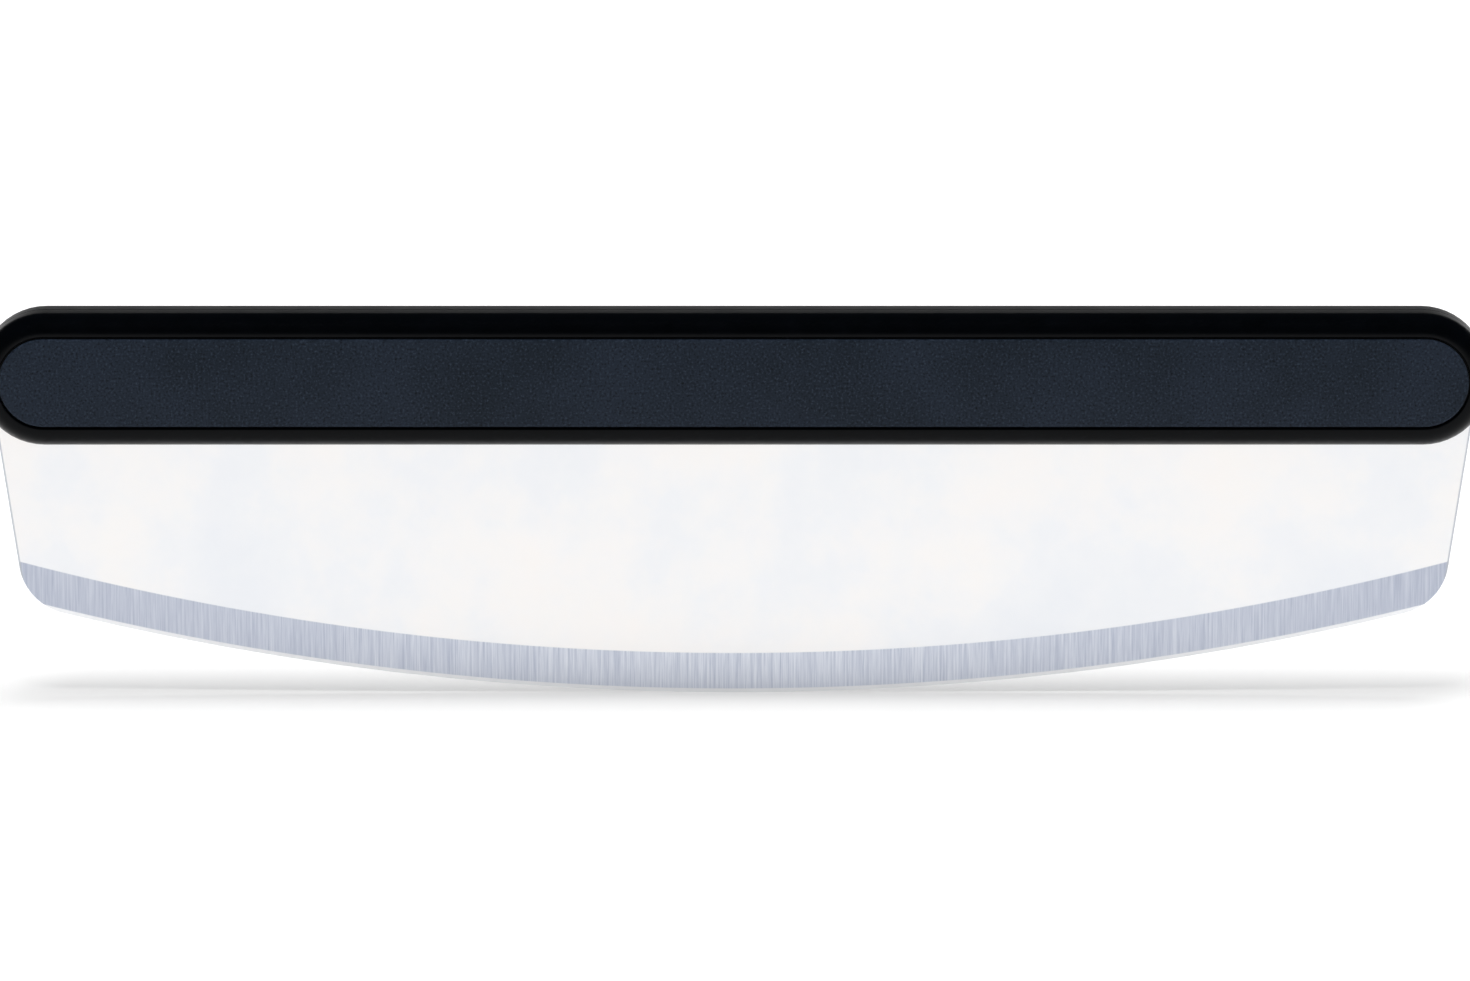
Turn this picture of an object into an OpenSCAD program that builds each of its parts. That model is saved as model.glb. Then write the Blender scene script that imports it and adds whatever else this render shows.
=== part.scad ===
// Rocking pizza knife: a wide curved blade clamped along its whole width between two handle shells.
// X is the length, the front faces -Y, Z is up, and the origin is the lowest point of the cutting edge.

/* [Blade] */
// Height of blade that shows below the handle, at the middle
blade_show = 62.2; // [50:0.2:90]
// Half of the blade's width where it enters the handle
blade_half_w = 178; // [150:0.5:200]
// Lean of each blade side, narrower towards the edge
side_lean = 8.5; // [0:0.5:12]
// Thickness of the blade plate
blade_t = 1.8; // [1.2:0.1:3]
// Radius of the curved cutting edge
edge_r = 685; // [600:5:900]
// Radius of the two lower corners
corner_r = 14; // [8:1:20]
// Width of the eased edge along each blade side
ease_w = 0.4; // [0.2:0.1:0.6]
// Width of the ground bevel
bevel_w = 8.9; // [5:0.1:14]
// Thickness at the foot of the ground bevel
bevel_foot_t = 0.6; // [0.3:0.1:1]
// Width of the honed edge below the bevel
hone_w = 1; // [0.5:0.1:2]
// Thickness of the cutting edge itself
edge_t = 0.1; // [0.1:0.05:0.2]

/* [Handle] */
// How far each round end of the handle reaches past the blade's side
handle_over = 4.5; // [2.5:0.5:12]
// Height of the handle
handle_h = 32.2; // [30:0.2:38]
// Depth of the two shells together
shell_d = 23; // [22:0.5:30]
// Width of the glossy rim round each grip panel, seen from the front
rim_w = 5.1; // [3.5:0.1:6]
// Width of the flat crest on top of the handle
crest_w = 9.4; // [6:0.2:12]
// Radius of the rim's inner lip round each grip panel
lip_r = 0.5; // [0.2:0.1:0.8]
// Rounding of each shell at the parting line, which shows as a fine groove
part_round = 0.2; // [0.1:0.05:0.4]
// Wall thickness of the shells
wall = 2.4; // [2:0.1:3]
// Thickness of the floor behind each grip panel
floor_t = 2; // [1.9:0.1:2.5]
// Thickness of the ribs that bear on the blade
rib_t = 1.8; // [1.2:0.1:3]

/* [Grip panels] */
// Thickness of a grip panel
panel_t = 1.6; // [1.2:0.1:2]
// How far a grip panel stands proud of its shell
panel_proud = 0.5; // [0.2:0.1:0.8]
// Radius of the soft edge of a grip panel
panel_edge_r = 0.6; // [0.3:0.1:0.8]
// Diameter of the snap pegs behind a grip panel
peg_d = 3.2; // [2.5:0.1:4]
// Length of the snap pegs
peg_l = 1.8; // [1:0.1:1.9]
// Distance of each snap peg from the nearest rib's middle
peg_out = 3.6; // [3.2:0.1:6]

/* [Fasteners] */
// Number of handle screws
screw_n = 6; // [4:1:8]
// Distance from the centre of a round end to the nearest screw
screw_inset = 22; // [18:1:30]
// Diameter of the screw shank
screw_d = 4; // [3:0.5:4]
// Length of the screw shank
screw_l = 14; // [13:0.5:15]
// Diameter of the screw head
head_d = 7; // [6:0.5:7.5]
// Height of the screw head
head_h = 2.2; // [1.8:0.1:2.4]
// Width across the flats of the socket in the screw head
socket_w = 2.5; // [2:0.5:3]
// Depth of the socket in the screw head
socket_deep = 1.3; // [1:0.1:1.6]
// Outer diameter of a threaded insert
insert_d = 5.6; // [5.4:0.1:6]
// Length of a threaded insert
insert_l = 5.5; // [4:0.5:6]
// Diameter of the moulded bosses round screws and pins
boss_d = 10; // [9.5:0.5:12]
// Diameter of the locating pins
pin_d = 4; // [3:0.5:5]
// Length of the locating pins
pin_l = 12; // [8:1:14]

/* [Clearances] */
// Gap between the blade's outline and the shells
blade_gap = 0.3; // [0.2:0.05:0.5]
// Gap between a grip panel and its rim, which shows as the seam
seam_gap = 0.3; // [0.2:0.05:0.5]
// Radial gap round a snap peg
peg_gap = 0.1; // [0.05:0.05:0.2]
// Radial gap round a screw shank in the blade and the rear shell
shank_gap = 0.2; // [0.1:0.05:0.3]
// Radial gap round a screw head
head_gap = 0.2; // [0.1:0.05:0.3]
// Depth of a screw head below the floor of the panel recess
head_sunk = 0.3; // [0.1:0.1:0.5]
// Radial gap round an insert, and between its thread and the screw
insert_gap = 0.05; // [0.02:0.01:0.1]
// Gap between the blade and the near end of an insert
insert_set = 0.3; // [0.1:0.1:0.5]
// Gap past the tip of a screw
tip_gap = 0.5; // [0.3:0.1:0.8]
// Radial gap round a locating pin
pin_gap = 0.05; // [0.02:0.01:0.1]
// Gap past each end of a locating pin
pin_end_gap = 0.3; // [0.1:0.1:0.5]

/* [Hidden] */

// Facets of small round features and of the large turned surfaces
fine = 64;
large = 360;
// Steps of the rounded rim, and of its lip and the soft panel edge
rim_steps = 12;
edge_steps = 4;
// Overrun of a cut past the face that it opens
over = 1;

blade_half_t = blade_t / 2;
shell_half_d = shell_d / 2;
handle_r = handle_h / 2;
// Height of the handle's middle line above the cutting edge
axis_z = blade_show + handle_r;
// Distance of each round end's centre from the middle
end_x = blade_half_w + handle_over - handle_r;
panel_r = handle_r - rim_w;
// Floor of the recess that a grip panel lies in
floor_y = shell_half_d - panel_t + panel_proud;
// Inside of the shells: the upright walls and the back of the recess floor
cavity_r = handle_r - wall;
cavity_y = floor_y - floor_t;
cavity_r_far = panel_r - wall / 2;
crest_half = crest_w / 2;

// Blade side: half width at height z
function side_x(z) = blade_half_w + (z - blade_show) * tan(side_lean);
side_dir = [sin(side_lean), cos(side_lean)];
// The blade keeps its full width up to its shoulders, where its sides run into the handle's round ends,
// or at least until it is through the shells' wall
side_from_end = [blade_half_w - end_x, -handle_r];
entry_along = side_from_end * side_dir;
entry_run = -entry_along - sqrt(entry_along * entry_along - pow(blade_half_w - end_x, 2));
tang_r = cavity_r - blade_gap;
shoulder_z = max(blade_show + entry_run * cos(side_lean), axis_z - tang_r + over);

// Centre of a lower corner's rounding, tangent to the side and to the cutting edge
side_in = [-cos(side_lean), sin(side_lean)];
edge_centre = [0, edge_r];
side_start = [blade_half_w, blade_show] + corner_r * side_in - edge_centre;
side_along = side_start * side_dir;
side_run = -side_along - sqrt(side_along * side_along - side_start * side_start + pow(edge_r - corner_r, 2));
corner_c = edge_centre + side_start + side_run * side_dir;
corner_out = (corner_c - edge_centre) / norm(corner_c - edge_centre);
// Reach of the corner cutter past the rounding
corner_reach = 2 * corner_r;

screw_x = [for (i = [0 : screw_n - 1]) (end_x - screw_inset) * (2 * i / (screw_n - 1) - 1)];
peg_x = [for (i = [0 : screw_n - 2]) (screw_x[i] + screw_x[i + 1]) / 2];
pin_x = [-end_x, end_x];
head_y = floor_y - head_sunk - head_h;

// Half of the shell's section as [depth, height] from the handle's middle line: the parting line, the
// rounded rim, its lip, and the floor of the panel recess
function rim_half() = concat(
    [[0, handle_r - part_round], [part_round, handle_r]],
    [
        for (i = [0 : rim_steps])
            let (a = 90 * i / rim_steps)
            [crest_half + (shell_half_d - crest_half) * sin(a), panel_r + lip_r + (rim_w - lip_r) * cos(a)]
    ],
    [
        for (i = [1 : edge_steps])
            let (a = 90 * i / edge_steps)
            [shell_half_d - lip_r * (1 - cos(a)), panel_r + lip_r * (1 - sin(a))]
    ],
    [[floor_y, panel_r]]
);

// Half of a grip panel's section as [depth, height], with its soft edge
function panel_half() = [
    for (i = [0 : edge_steps])
        let (a = 90 * i / edge_steps)
        [
            floor_y + panel_t - panel_edge_r * (1 - cos(a)),
            panel_r - seam_gap - panel_edge_r * (1 - sin(a)),
        ]
];

// A solid with round ends: the half section of [depth, height] points goes along and round both ends
module round_bar(half) {
    closed = concat([[half[0][0], 0]], half, [[half[len(half) - 1][0], 0]]);
    for (up = [0, 1])
        mirror([0, 0, up])
        translate([-end_x, 0, 0])
        rotate([90, 0, 90])
        linear_extrude(2 * end_x)
        polygon(closed);
    for (end = [0, 1])
        mirror([end, 0, 0])
        translate([end_x, 0, 0])
        rotate([-90, -90, 0])
        rotate_extrude(angle = 180, $fn = large / 2)
        polygon([for (p = closed) [p[1], p[0]]]);
}

// A cylinder along Y from y0 to y1 at [x, the handle's middle line]
module cross_pin(x, y0, y1, d) {
    translate([x, y0, axis_z])
    rotate([-90, 0, 0])
    cylinder(d = d, h = y1 - y0, $fn = fine);
}

// Outline of a stadium that shares the handle's end centres
module stadium(r) {
    translate([-end_x, axis_z - r]) square([2 * end_x, 2 * r]);
    for (x = [-end_x, end_x])
        translate([x, axis_z]) circle(r, $fn = large / 2);
}

// Outline of the blade's wide part, up to its shoulders, with room around it
module wide_part(room) {
    low = -over;
    high = shoulder_z + room;
    polygon([
        [-side_x(low) - room, low],
        [side_x(low) + room, low],
        [side_x(high) + room, high],
        [-side_x(high) - room, high],
    ]);
}

// Plate between two depths from an outline in X and Z
module plate(y0, y1) {
    translate([0, y1, 0])
    rotate([90, 0, 0])
    linear_extrude(y1 - y0)
    children();
}

// What rounds off the right lower corner
module corner_cutter() {
    plate(-blade_t, blade_t)
    difference() {
        polygon([
            corner_c,
            corner_c - corner_reach * side_in,
            corner_c - corner_reach * side_in + corner_reach * corner_out,
            corner_c + corner_reach * corner_out,
        ]);
        translate(corner_c) circle(corner_r, $fn = fine * 2);
    }
}

// What eases the two long edges of the right blade side
module side_ease() {
    reach = 2 * blade_t;
    for (face = [0, 1])
        mirror([0, face, 0])
        translate([blade_half_w, blade_half_t, blade_show])
        rotate([0, side_lean, 0])
        rotate([0, 0, 45])
        translate([-ease_w / sqrt(2), -reach / 2, -blade_show])
        cube([reach, reach, 2 * blade_show]);
}

// Disc whose rim has the ground bevel and the honed edge, centred on the middle of the edge's curve
module ground_disc() {
    bevel_in = edge_r - hone_w - bevel_w;
    hone_in = edge_r - hone_w;
    translate([0, 0, edge_r])
    rotate([90, 0, 0])
    rotate_extrude($fn = large * 4)
    polygon([
        [0, -blade_half_t],
        [bevel_in, -blade_half_t],
        [hone_in, -bevel_foot_t / 2],
        [edge_r, -edge_t / 2],
        [edge_r, edge_t / 2],
        [hone_in, bevel_foot_t / 2],
        [bevel_in, blade_half_t],
        [0, blade_half_t],
    ]);
}

module blade() {
    color("gainsboro")
    difference() {
        intersection() {
            plate(-blade_half_t, blade_half_t)
            union() {
                wide_part(0);
                stadium(tang_r);
            }
            ground_disc();
        }
        for (end = [0, 1])
            mirror([end, 0, 0]) {
                corner_cutter();
                side_ease();
            }
        for (x = screw_x)
            cross_pin(x, -blade_t, blade_t, screw_d + 2 * shank_gap);
        for (x = pin_x)
            cross_pin(x, -blade_t, blade_t, pin_d + 2 * pin_gap);
    }
}

// Inside of one shell, between its ribs and bosses
module shell_cavity() {
    translate([0, 0, axis_z])
    round_bar([
        [-over, cavity_r],
        [crest_half - wall / 2, cavity_r],
        [cavity_y, cavity_r_far],
    ]);
}

// One shell on the +Y side of the parting plane, without the cuts of its fasteners
module plain_shell() {
    difference() {
        translate([0, 0, axis_z]) round_bar(rim_half());
        difference() {
            shell_cavity();
            for (x = concat(screw_x, pin_x))
                cross_pin(x, -2 * over, shell_d, boss_d);
            for (x = peg_x)
                translate([x - rib_t / 2, -2 * over, axis_z - handle_r])
                cube([rib_t, shell_d, handle_h]);
        }
        // Room for the tang, and the slot that the blade leaves through
        plate(-over, blade_half_t)
        union() {
            wide_part(blade_gap);
            stadium(cavity_r);
        }
        for (x = peg_x)
            for (side = [-1, 1])
                translate([side * peg_out, 0, 0])
                cross_pin(x, cavity_y - over, shell_d, peg_d + 2 * peg_gap);
        for (x = pin_x)
            cross_pin(x, -over, pin_l / 2 + pin_end_gap, pin_d + 2 * pin_gap);
    }
}

module rear_shell() {
    color("#16181b")
    difference() {
        plain_shell();
        for (x = screw_x) {
            cross_pin(x, 0, shell_d, screw_d + 2 * shank_gap);
            cross_pin(x, head_y, shell_d, head_d + 2 * head_gap);
        }
    }
}

module front_shell() {
    color("#16181b")
    difference() {
        mirror([0, 1, 0]) plain_shell();
        for (x = screw_x) {
            cross_pin(x, -blade_half_t - insert_set - insert_l, 0, insert_d + 2 * insert_gap);
            cross_pin(x, head_y - screw_l - tip_gap, 0, screw_d + 2 * shank_gap);
        }
    }
}

// A grip panel on the +Y side, with its snap pegs
module grip_panel() {
    translate([0, 0, axis_z]) round_bar(concat(panel_half(), [[floor_y, panel_r - seam_gap]]));
    for (x = peg_x)
        for (side = [-1, 1])
            translate([side * peg_out, 0, 0])
            cross_pin(x, floor_y - peg_l, floor_y + panel_t / 2, peg_d);
}

module rear_grip_panel() {
    color("#2a313c") grip_panel();
}

module front_grip_panel() {
    color("#2a313c") mirror([0, 1, 0]) grip_panel();
}

module handle_screws() {
    color("silver")
    for (x = screw_x)
        difference() {
            union() {
                cross_pin(x, head_y - screw_l, head_y + head_h / 2, screw_d);
                cross_pin(x, head_y, head_y + head_h, head_d);
            }
            translate([x, head_y + head_h - socket_deep, axis_z])
            rotate([-90, 0, 0])
            cylinder(d = socket_w / cos(30), h = socket_deep + over, $fn = 6);
        }
}

module threaded_inserts() {
    color("goldenrod")
    for (x = screw_x)
        difference() {
            cross_pin(x, -blade_half_t - insert_set - insert_l, -blade_half_t - insert_set, insert_d);
            cross_pin(x, -shell_d, 0, screw_d + 2 * insert_gap);
        }
}

module locating_pins() {
    color("lightsteelblue")
    for (x = pin_x)
        cross_pin(x, -pin_l / 2, pin_l / 2, pin_d);
}

blade();
front_shell();
rear_shell();
front_grip_panel();
rear_grip_panel();
handle_screws();
threaded_inserts();
locating_pins();
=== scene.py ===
from math import cos, radians, sin, tan

import bmesh
import bpy
from mathutils import Euler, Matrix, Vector


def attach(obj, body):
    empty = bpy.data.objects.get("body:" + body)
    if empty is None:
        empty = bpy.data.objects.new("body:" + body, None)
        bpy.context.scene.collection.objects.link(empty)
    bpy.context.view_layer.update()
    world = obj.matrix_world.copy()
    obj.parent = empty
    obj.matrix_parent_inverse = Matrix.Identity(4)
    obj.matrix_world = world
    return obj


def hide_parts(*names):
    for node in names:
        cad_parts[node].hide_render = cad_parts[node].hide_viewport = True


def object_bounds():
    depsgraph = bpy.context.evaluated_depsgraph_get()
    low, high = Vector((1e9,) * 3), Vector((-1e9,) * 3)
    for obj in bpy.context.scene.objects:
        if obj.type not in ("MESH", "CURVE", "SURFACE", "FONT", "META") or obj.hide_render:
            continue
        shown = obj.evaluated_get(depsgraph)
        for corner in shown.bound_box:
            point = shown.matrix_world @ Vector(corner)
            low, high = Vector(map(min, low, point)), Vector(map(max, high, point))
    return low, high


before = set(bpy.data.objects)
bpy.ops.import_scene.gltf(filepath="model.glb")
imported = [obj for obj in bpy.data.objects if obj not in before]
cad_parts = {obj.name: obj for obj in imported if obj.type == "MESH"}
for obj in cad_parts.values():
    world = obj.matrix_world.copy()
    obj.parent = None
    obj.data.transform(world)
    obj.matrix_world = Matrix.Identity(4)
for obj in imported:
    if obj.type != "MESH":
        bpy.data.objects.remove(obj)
cad_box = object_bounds()

# Blade: one plate of stainless steel, its tang clamped between the shells. Its flats are satin rolled, the
# bevel is ground across the edge, and the narrow edge below it is honed. The CAD solid has the exact
# outline and bevel, so it stays and gets its finish.
BLADE_FLAT = "#F2F2F3"
BLADE_FLAT_WARM = "#F5F2F0"
BLADE_FLAT_COOL = "#EBEDF1"
BLADE_BEVEL = "#E9EDF6"
BLADE_BEVEL_DARK = "#C0C7D8"
# Painted shade for the bevel towards both ends of the blade
BLADE_BEVEL_END_PAINTED_SHADE = "#8C93A8"
# Partly the honed edge's own finish, partly a painted highlight along the cutting edge
BLADE_HONE_AND_HIGHLIGHT = "#F7F8FA"
# Painted shade: a thin grey strip on the blade's face along each side
BLADE_SIDE_PAINTED_SHADE = "#B9BDC4"
EDGE_RADIUS = 0.685
BEVEL_WIDTH = 0.0089
HONE_WIDTH = 0.001
BLADE_SHOW = 0.0622
BLADE_HALF_WIDTH = 0.178
SIDE_LEAN = radians(8.5)
SIDE_SHADE_WIDTH = 0.00045
# Half the width over which one finish gives way to the next
FINISH_SOFT = 0.00012
# Grinding lines are drawn 0.5 mm apart, which is coarser than the real grit, so that they show
SCRATCH_PITCH = 0.0005
SCRATCH_LENGTH = 0.02
SCRATCH_DEPTH = 0.00004
SCRATCH_BUMP = 0.25
SCRATCH_RANGE = (0.35, 0.7)
# Rolling leaves faint warm and cool clouds on the flats
CLOUDING_SIZE = 0.045
CLOUDING_COOL = (0.42, 0.68)
CLOUDING_WARM = (0.55, 0.35)
# Painted shade: the bevel is painted darker from here outwards, by this share at its ends
BEVEL_SHADE_START = 0.02
BEVEL_END_SHADE = 0.42
FLAT_ROUGHNESS = 0.3
BEVEL_ROUGHNESS = 0.42


def colour(text):
    """sRGB hex as linear RGBA."""
    channels = [int(text[i : i + 2], 16) / 255 for i in (1, 3, 5)]
    linear = [c / 12.92 if c <= 0.04045 else ((c + 0.055) / 1.055) ** 2.4 for c in channels]
    return (*linear, 1.0)


def add(tree, kind, inputs=None, **settings):
    """A shader node with its settings, values and links.

    A socket is named, or numbered where its name isn't unique.
    """
    node = tree.nodes.new("ShaderNode" + kind)
    for name, value in settings.items():
        setattr(node, name, value)
    for name, value in (inputs or {}).items():
        if isinstance(value, bpy.types.NodeSocket):
            tree.links.new(value, node.inputs[name])
        else:
            node.inputs[name].default_value = value
    return node


def new_material(name):
    """An empty material, with its node tree."""
    material = bpy.data.materials.new(name)
    material.use_nodes = True
    material.node_tree.nodes.clear()
    return material, material.node_tree


def dress(piece, material):
    """Gives a piece its one material."""
    piece.data.materials.clear()
    piece.data.materials.append(material)


def satin_stainless_steel():
    """Satin flats look nearly white in soft light, the ground bevel greyer with upright lines."""
    material, tree = new_material("satin_stainless_steel_ground_bevel")
    place = add(tree, "TexCoord").outputs["Object"]
    # Distance from the middle of the edge's curve tells flat, bevel and honed edge apart
    from_centre = add(tree, "VectorMath", {0: place, 1: (0, 0, EDGE_RADIUS)}, operation="SUBTRACT")
    flat_on = add(tree, "VectorMath", {0: from_centre.outputs[0], 1: (1, 0, 1)}, operation="MULTIPLY")
    radius = add(tree, "VectorMath", {0: flat_on.outputs[0]}, operation="LENGTH").outputs["Value"]
    on_bevel, on_hone_and_highlight = [
        add(
            tree,
            "MapRange",
            {"Value": radius, "From Min": ring - FINISH_SOFT, "From Max": ring + FINISH_SOFT},
        ).outputs[0]
        for ring in (EDGE_RADIUS - HONE_WIDTH - BEVEL_WIDTH, EDGE_RADIUS - HONE_WIDTH)
    ]
    # Distance from the nearer leaning side, which is a plain cut edge; a thin strip along it is painted grey
    # as painted shade
    parts = add(tree, "SeparateXYZ", {0: place}).outputs
    from_middle = add(tree, "Math", {0: parts["X"]}, operation="ABSOLUTE").outputs[0]
    side = add(
        tree,
        "Math",
        {0: parts["Z"], 1: tan(SIDE_LEAN), 2: BLADE_HALF_WIDTH - BLADE_SHOW * tan(SIDE_LEAN)},
        operation="MULTIPLY_ADD",
    )
    from_side = add(tree, "Math", {0: side.outputs[0], 1: from_middle}, operation="SUBTRACT").outputs[0]
    # Painted shade along each side of the blade, where the edge would shade
    on_side_shade = add(
        tree,
        "MapRange",
        {
            "Value": from_side,
            "From Min": SIDE_SHADE_WIDTH + FINISH_SOFT,
            "From Max": SIDE_SHADE_WIDTH - FINISH_SOFT,
        },
    ).outputs[0]
    clouding = add(
        tree, "TexNoise", {"Vector": place, "Scale": 1 / CLOUDING_SIZE, "Detail": 5.0, "Roughness": 0.6}
    ).outputs["Fac"]
    flat = colour(BLADE_FLAT)
    for (low, high), tint in ((CLOUDING_COOL, BLADE_FLAT_COOL), (CLOUDING_WARM, BLADE_FLAT_WARM)):
        share = add(tree, "MapRange", {"Value": clouding, "From Min": low, "From Max": high})
        tinted = add(tree, "Mix", {0: share.outputs[0], 6: flat, 7: colour(tint)}, data_type="RGBA")
        flat = tinted.outputs[2]
    scratch_place = add(
        tree,
        "Mapping",
        {"Vector": place, "Scale": (1 / SCRATCH_PITCH, 1 / SCRATCH_LENGTH, 1 / SCRATCH_LENGTH)},
    ).outputs[0]
    scratches = add(
        tree, "TexNoise", {"Vector": scratch_place, "Scale": 1.0, "Detail": 3.0, "Roughness": 0.7}
    ).outputs["Fac"]
    low, high = SCRATCH_RANGE
    line = add(tree, "MapRange", {"Value": scratches, "From Min": low, "From Max": high})
    # Painted shade that darkens the bevel towards the blade's ends
    painted_end_shade = add(
        tree,
        "MapRange",
        {
            "Value": from_middle,
            "From Min": BEVEL_SHADE_START,
            "From Max": BLADE_HALF_WIDTH,
            "To Max": BEVEL_END_SHADE,
        },
    )
    bevel = colour(BLADE_BEVEL)
    for share, tint in ((line, BLADE_BEVEL_DARK), (painted_end_shade, BLADE_BEVEL_END_PAINTED_SHADE)):
        tinted = add(tree, "Mix", {0: share.outputs[0], 6: bevel, 7: colour(tint)}, data_type="RGBA")
        bevel = tinted.outputs[2]
    base = flat
    for share, finish in (
        (on_bevel, bevel),
        (on_side_shade, colour(BLADE_SIDE_PAINTED_SHADE)),
        (on_hone_and_highlight, colour(BLADE_HONE_AND_HIGHLIGHT)),
    ):
        base = add(tree, "Mix", {0: share, 6: base, 7: finish}, data_type="RGBA").outputs[2]
    roughness = add(
        tree, "MapRange", {"Value": on_bevel, "To Min": FLAT_ROUGHNESS, "To Max": BEVEL_ROUGHNESS}
    )
    grind = add(tree, "Math", {0: scratches, 1: on_bevel}, operation="MULTIPLY")
    bump = add(
        tree, "Bump", {"Height": grind.outputs[0], "Strength": SCRATCH_BUMP, "Distance": SCRATCH_DEPTH}
    )
    surface = add(
        tree,
        "BsdfPrincipled",
        {
            "Base Color": base,
            "Metallic": 1.0,
            "Roughness": roughness.outputs[0],
            "Normal": bump.outputs[0],
        },
    )
    add(tree, "OutputMaterial", {"Surface": surface.outputs[0]})
    return material


dress(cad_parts["blade"], satin_stainless_steel())

# Front and rear shells: the two halves of the handle, injection moulded in black nylon and screwed together
# through the blade's tang. Each is a joined-up copy of its solid, smoothed so that its rounded rim runs
# without facets.
NYLON_BLACK = "#010203"
NYLON_SHEEN = "#04060A"
NYLON_SPECULAR = 0.08
NYLON_ROUGHNESS = (0.28, 0.36)
FLOW_MARK_SIZE = 0.006
FLOW_MARK_DEPTH = 0.00005
FLOW_MARK_BUMP = 0.15
SHELL_CORNER = radians(28)
MERGE_GAP = 1e-6


def smooth_copy(node_name, piece_name, corner):
    """A piece with a CAD node's shape, joined up, smooth but for edges sharper than the corner."""
    mesh = bpy.data.meshes.new(piece_name)
    shape = bmesh.new()
    shape.from_mesh(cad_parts[node_name].data)
    bmesh.ops.remove_doubles(shape, verts=shape.verts, dist=MERGE_GAP)
    for face in shape.faces:
        face.smooth = True
    for edge in shape.edges:
        edge.smooth = len(edge.link_faces) == 2 and edge.calc_face_angle(0) < corner
    shape.to_mesh(mesh)
    shape.free()
    piece = bpy.data.objects.new(piece_name, mesh)
    bpy.context.scene.collection.objects.link(piece)
    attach(piece, "root")
    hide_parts(node_name)
    return piece


def moulded_black_nylon():
    """A polished mould leaves a smooth deep black with faint flow marks in its gloss."""
    material, tree = new_material("moulded_black_nylon")
    place = add(tree, "TexCoord").outputs["Object"]
    flow = add(
        tree, "TexNoise", {"Vector": place, "Scale": 1 / FLOW_MARK_SIZE, "Detail": 4.0}
    ).outputs["Fac"]
    base = add(
        tree, "Mix", {0: flow, 6: colour(NYLON_BLACK), 7: colour(NYLON_SHEEN)}, data_type="RGBA"
    )
    low, high = NYLON_ROUGHNESS
    roughness = add(tree, "MapRange", {"Value": flow, "To Min": low, "To Max": high})
    bump = add(tree, "Bump", {"Height": flow, "Strength": FLOW_MARK_BUMP, "Distance": FLOW_MARK_DEPTH})
    surface = add(
        tree,
        "BsdfPrincipled",
        {
            "Base Color": base.outputs[2],
            "Roughness": roughness.outputs[0],
            "IOR": 1.53,
            "Specular IOR Level": NYLON_SPECULAR,
            "Normal": bump.outputs[0],
        },
    )
    add(tree, "OutputMaterial", {"Surface": surface.outputs[0]})
    return material


nylon = moulded_black_nylon()
for side in ("front", "rear"):
    shell = smooth_copy(side + "_shell", side + "_shell_moulding", SHELL_CORNER)
    dress(shell, nylon)

# Fasteners: zinc-plated screws from the rear, the brass inserts in the front shell that they bite in, and
# ground steel pins that line up the shells. They lie inside the closed handle, so they keep their solids.
STEEL_PLATED = "#B9BCBF"
STEEL_ROUGHNESS = 0.3
BRASS_TURNED = "#C9A256"
BRASS_ROUGHNESS = 0.25
TURNING_MARK_PITCH = 0.0003
TURNING_MARK_SPREAD = 0.15


def turned_metal(name, hex_text, roughness):
    """Fine turning marks leave bright metal slightly uneven in its gloss."""
    material, tree = new_material(name)
    place = add(tree, "TexCoord").outputs["Object"]
    marks = add(tree, "TexNoise", {"Vector": place, "Scale": 1 / TURNING_MARK_PITCH}).outputs["Fac"]
    rough = add(
        tree, "MapRange", {"Value": marks, "To Min": roughness, "To Max": roughness + TURNING_MARK_SPREAD}
    )
    surface = add(
        tree,
        "BsdfPrincipled",
        {"Base Color": colour(hex_text), "Metallic": 1.0, "Roughness": rough.outputs[0]},
    )
    add(tree, "OutputMaterial", {"Surface": surface.outputs[0]})
    return material


plated = turned_metal("zinc_plated_steel", STEEL_PLATED, STEEL_ROUGHNESS)
for name in ("handle_screws", "locating_pins"):
    dress(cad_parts[name], plated)
dress(
    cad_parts["threaded_inserts"],
    turned_metal("turned_brass", BRASS_TURNED, BRASS_ROUGHNESS),
)

# Grip panels: charcoal plastic inlays that snap into the shells with pegs and cover the screws. Their mould
# was spark eroded, which leaves a fine grain. Each is a joined-up, smoothed copy of its solid.
PANEL_CHARCOAL = "#1B242F"
PANEL_CHARCOAL_LIGHT = "#232C39"
# Painted shade for the grain's pits and painted highlight for its peaks
PANEL_PIT_PAINTED_SHADE = "#090D13"
PANEL_PEAK_PAINTED_HIGHLIGHT = "#3A4555"
PANEL_SPECULAR = 0.15
PANEL_ROUGHNESS = (0.58, 0.7)
# The grain is drawn 0.6 mm wide, about twice the real one, so that it shows
GRAIN_SIZE = 0.0006
GRAIN_DEPTH = 0.00006
GRAIN_BUMP = 0.5
GRAIN_PIT_SHADE = (0.46, 0.26)
GRAIN_PEAK_HIGHLIGHT = (0.55, 0.8)
PATCH_SIZE = 0.02
PATCH_RANGE = (0.35, 0.65)
PANEL_CORNER = radians(40)


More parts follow.
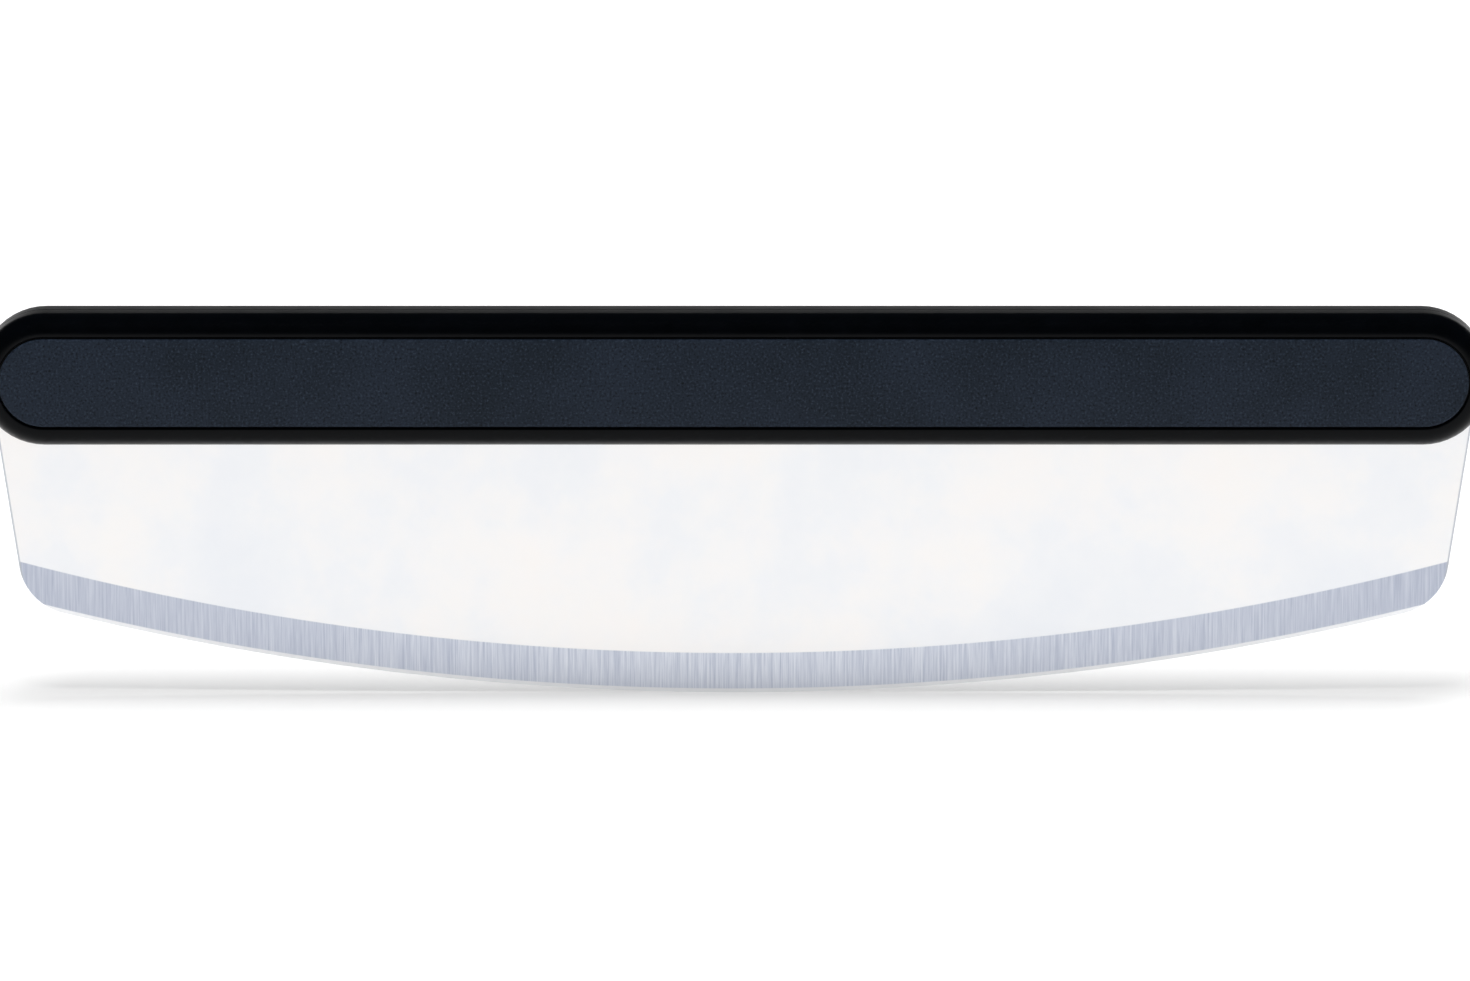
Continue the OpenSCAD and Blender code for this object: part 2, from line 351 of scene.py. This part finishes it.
def spark_textured_plastic():
    """The eroded grain scatters the light, so it looks matt; its speckle is painted shade in the pits and
    painted highlight on the peaks.
    """
    material, tree = new_material("spark_textured_charcoal_plastic")
    place = add(tree, "TexCoord").outputs["Object"]
    grain = add(
        tree, "TexNoise", {"Vector": place, "Scale": 1 / GRAIN_SIZE, "Detail": 2.0, "Roughness": 0.6}
    ).outputs["Fac"]
    patches = add(tree, "TexNoise", {"Vector": place, "Scale": 1 / PATCH_SIZE, "Detail": 3.0}).outputs["Fac"]
    base = colour(PANEL_CHARCOAL)
    # The patches are random tone; the grain's pits are painted dark as painted shade and its peaks light as
    # painted highlight, following the bump
    for pattern, (low, high), tint in (
        (patches, PATCH_RANGE, PANEL_CHARCOAL_LIGHT),
        (grain, GRAIN_PIT_SHADE, PANEL_PIT_PAINTED_SHADE),
        (grain, GRAIN_PEAK_HIGHLIGHT, PANEL_PEAK_PAINTED_HIGHLIGHT),
    ):
        share = add(tree, "MapRange", {"Value": pattern, "From Min": low, "From Max": high})
        tinted = add(tree, "Mix", {0: share.outputs[0], 6: base, 7: colour(tint)}, data_type="RGBA")
        base = tinted.outputs[2]
    low, high = PANEL_ROUGHNESS
    roughness = add(tree, "MapRange", {"Value": patches, "To Min": low, "To Max": high})
    bump = add(tree, "Bump", {"Height": grain, "Strength": GRAIN_BUMP, "Distance": GRAIN_DEPTH})
    surface = add(
        tree,
        "BsdfPrincipled",
        {
            "Base Color": base,
            "Roughness": roughness.outputs[0],
            "IOR": 1.5,
            "Specular IOR Level": PANEL_SPECULAR,
            "Normal": bump.outputs[0],
        },
    )
    add(tree, "OutputMaterial", {"Surface": surface.outputs[0]})
    return material


grained = spark_textured_plastic()
for side in ("front", "rear"):
    panel = smooth_copy(side + "_grip_panel", side + "_grip_inlay", PANEL_CORNER)
    dress(panel, grained)

# Studio: a wide matt white floor under the cutting edge, a white room and two soft lamps overhead. Mirrored
# rays see a white horizon under a dark ceiling, which leaves the handle's upper rim black, and the floor
# keeps the knife's soft shadow.
FLOOR_HALF = 12.0
FLOOR_WHITE = "#E6E6E6"
# The floor's own light for the camera, near the knife and far from it, where the lamps fade
FLOOR_LIFT = 0.27
FAR_FLOOR_LIFT = 0.7
NEAR_FLOOR = 0.3
FAR_FLOOR = 1.5
MIRRORED_FLOOR_LIFT = 0.22
ROOM_LIGHT = 0.35
CEILING_DARK = 0.01
# Sine of the angle above the horizon at which the ceiling is fully dark
CEILING_START = 0.21
KNIFE_MIDDLE = Vector((0, 0, cad_box[1][2] / 2))


def white_floor():
    """Matt board that stays white to the camera and in reflections."""
    material, tree = new_material("matt_white_floor")
    ray = add(tree, "LightPath").outputs
    distance = add(
        tree, "VectorMath", {0: add(tree, "TexCoord").outputs["Object"]}, operation="LENGTH"
    ).outputs["Value"]
    level = add(
        tree,
        "MapRange",
        {
            "Value": distance,
            "From Min": NEAR_FLOOR,
            "From Max": FAR_FLOOR,
            "To Min": FLOOR_LIFT,
            "To Max": FAR_FLOOR_LIFT,
        },
    )
    straight = add(
        tree,
        "Math",
        {0: ray["Is Camera Ray"], 1: ray["Is Transmission Ray"]},
        operation="MAXIMUM",
    )
    seen = add(tree, "Math", {0: straight.outputs[0], 1: level.outputs[0]}, operation="MULTIPLY")
    lift = add(
        tree,
        "Math",
        {0: ray["Is Glossy Ray"], 1: MIRRORED_FLOOR_LIFT, 2: seen.outputs[0]},
        operation="MULTIPLY_ADD",
    )
    surface = add(
        tree,
        "BsdfPrincipled",
        {
            "Base Color": colour(FLOOR_WHITE),
            "Roughness": 0.9,
            "Specular IOR Level": 0.0,
            "Emission Color": (1, 1, 1, 1),
            "Emission Strength": lift.outputs[0],
        },
    )
    add(tree, "OutputMaterial", {"Surface": surface.outputs[0]})
    return material


floor_mesh = bpy.data.meshes.new("studio_floor")
sheet = bmesh.new()
bmesh.ops.create_grid(sheet, x_segments=1, y_segments=1, size=FLOOR_HALF)
sheet.to_mesh(floor_mesh)
sheet.free()
floor = bpy.data.objects.new("studio_floor", floor_mesh)
bpy.context.scene.collection.objects.link(floor)
floor_mesh.materials.append(white_floor())

room = bpy.data.worlds.new("white_room")
room.use_nodes = True
room_tree = room.node_tree
room_tree.nodes.clear()
rays = add(room_tree, "LightPath").outputs
direction = add(room_tree, "TexCoord").outputs["Generated"]
height = add(room_tree, "SeparateXYZ", {0: direction}).outputs["Z"]
ceiling = add(
    room_tree,
    "MapRange",
    {"Value": height, "From Max": CEILING_START, "To Min": 1.0, "To Max": CEILING_DARK},
)
mirrored = add(room_tree, "Background", {"Color": ceiling.outputs[0], "Strength": 1.0})
plain = add(room_tree, "Background", {"Color": (1, 1, 1, 1), "Strength": ROOM_LIGHT})
white = add(room_tree, "Background", {"Color": (1, 1, 1, 1), "Strength": 1.0})
lit = add(room_tree, "MixShader", {0: rays["Is Glossy Ray"], 1: plain.outputs[0], 2: mirrored.outputs[0]})
straight = add(
    room_tree,
    "Math",
    {0: rays["Is Camera Ray"], 1: rays["Is Transmission Ray"]},
    operation="MAXIMUM",
)
behind = add(room_tree, "MixShader", {0: straight.outputs[0], 1: lit.outputs[0], 2: white.outputs[0]})
add(room_tree, "OutputWorld", {"Surface": behind.outputs[0]})
bpy.context.scene.world = room


def soft_lamp(name, place, size, watts):
    """A square area lamp aimed at the middle of the knife, hidden from reflections."""
    lamp = bpy.data.lights.new(name, "AREA")
    lamp.size = size
    lamp.energy = watts
    holder = bpy.data.objects.new(name, lamp)
    holder.location = place
    holder.rotation_euler = (KNIFE_MIDDLE - Vector(place)).to_track_quat("-Z", "Y").to_euler()
    holder.visible_glossy = False
    bpy.context.scene.collection.objects.link(holder)


soft_lamp("front_lamp", (-0.4, -0.7, 4.5), 1.8, 112)
soft_lamp("rear_lamp", (0.4, 0.7, 4.5), 1.8, 76)

# Camera: a long lens a little above the knife, square to its front. One pixel of the photograph is
# 0.2424 mm at the blade, and the frame's middle lies on the blade, a little above half the knife's height.
FRAME_PIXELS = 1470
PIXEL = 0.0002424
TILT = radians(10.5)
DISTANCE = 2.5
SENSOR = 36.0
AIM = Vector((0.0003, 0, 0.0499))

camera = bpy.data.cameras.new("camera")
camera.sensor_width = SENSOR
camera.lens = SENSOR * DISTANCE / (FRAME_PIXELS * PIXEL)
camera.clip_end = 100
camera_holder = bpy.data.objects.new("camera", camera)
camera_holder.location = AIM + DISTANCE * Vector((0, -cos(TILT), sin(TILT)))
camera_holder.rotation_euler = Euler((radians(90) - TILT, 0, 0))
bpy.context.scene.collection.objects.link(camera_holder)
bpy.context.scene.camera = camera_holder
bpy.context.scene.view_settings.view_transform = "Standard"
